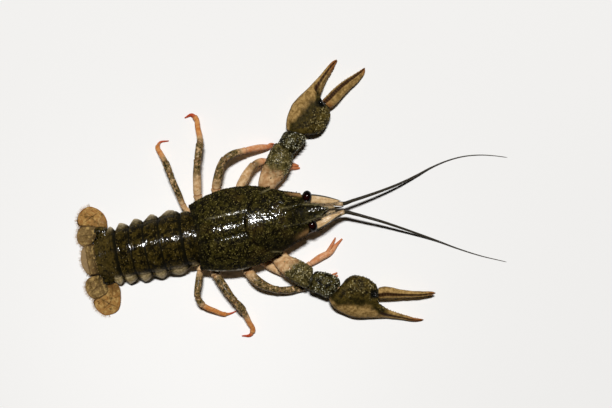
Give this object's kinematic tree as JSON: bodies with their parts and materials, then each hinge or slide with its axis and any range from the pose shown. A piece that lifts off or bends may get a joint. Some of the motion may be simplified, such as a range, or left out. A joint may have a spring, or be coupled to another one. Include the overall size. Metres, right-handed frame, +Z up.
{
  "type": "crayfish",
  "caption": "Still, life-size narrow-clawed crayfish resting on the floor, claws spread forward, feelers out ahead and tail fan open.",
  "frame": {"origin": "centre of the whole animal's box on the floor that it rests on", "axes": "+X forward along the back to the feelers, +Y to the animal's left, +Z up from the floor"},
  "size_m": [0.212, 0.1319, 0.0258],
  "materials": {
    "back_shell": "dark olive, finely granular, satin gloss",
    "belly_shell": "pale horn, satin",
    "claw_shell": "olive and dark green, coarsely granular, golden at the rims",
    "leg_shell": "peach and tan with dark mottling, satin",
    "tail_shell": "golden orange-brown with fine rays, satin",
    "scale_shell": "cream with a thin dark edge, satin",
    "feeler_horn": "dark brown, fading to grey at the tips",
    "eye_horn": "black, wet gloss"
  },
  "bodies": {
    "root": {"abdomen_1": "back_shell", "abdomen_2": "back_shell", "abdomen_3": "back_shell", "abdomen_4": "back_shell", "abdomen_5": "back_shell", "abdomen_6": "back_shell", "antenna_base_left": "leg_shell", "antenna_base_right": "leg_shell", "antenna_scale_left": "scale_shell", "antenna_scale_right": "scale_shell", "antenna_whip_inner_left": "feeler_horn", "antenna_whip_inner_right": "feeler_horn", "antenna_whip_outer_left": "feeler_horn", "antenna_whip_outer_right": "feeler_horn", "antennule_left": "feeler_horn", "antennule_right": "feeler_horn", "carapace_head": "back_shell", "carapace_thorax": "back_shell", "claw_arm_left": "claw_shell", "claw_arm_right": "claw_shell", "claw_finger_left": "claw_shell", "claw_finger_right": "claw_shell", "claw_hand_left": "claw_shell", "claw_hand_right": "claw_shell", "claw_wrist_left": "claw_shell", "claw_wrist_right": "claw_shell", "eye_left": "eye_horn", "eye_right": "eye_horn", "eyestalk_left": "leg_shell", "eyestalk_right": "leg_shell", "leg_2_left_pincer": "leg_shell", "leg_2_left_shin": "leg_shell", "leg_2_left_thigh": "leg_shell", "leg_2_right_pincer": "leg_shell", "leg_2_right_shin": "leg_shell", "leg_2_right_thigh": "leg_shell", "leg_3_left_pincer": "leg_shell", "leg_3_left_shin": "leg_shell", "leg_3_left_thigh": "leg_shell", "leg_3_right_pincer": "leg_shell", "leg_3_right_shin": "leg_shell", "leg_3_right_thigh": "leg_shell", "leg_4_left_shin": "leg_shell", "leg_4_left_thigh": "leg_shell", "leg_4_right_shin": "leg_shell", "leg_4_right_thigh": "leg_shell", "leg_5_left_shin": "leg_shell", "leg_5_left_thigh": "leg_shell", "leg_5_right_shin": "leg_shell", "leg_5_right_thigh": "leg_shell", "maxilliped_left": "leg_shell", "maxilliped_right": "leg_shell", "sternum": "belly_shell", "telson": "tail_shell", "uropod_inner_left": "tail_shell", "uropod_inner_right": "tail_shell", "uropod_outer_left": "tail_shell", "uropod_outer_right": "tail_shell"}
  },
  "joints": []
}
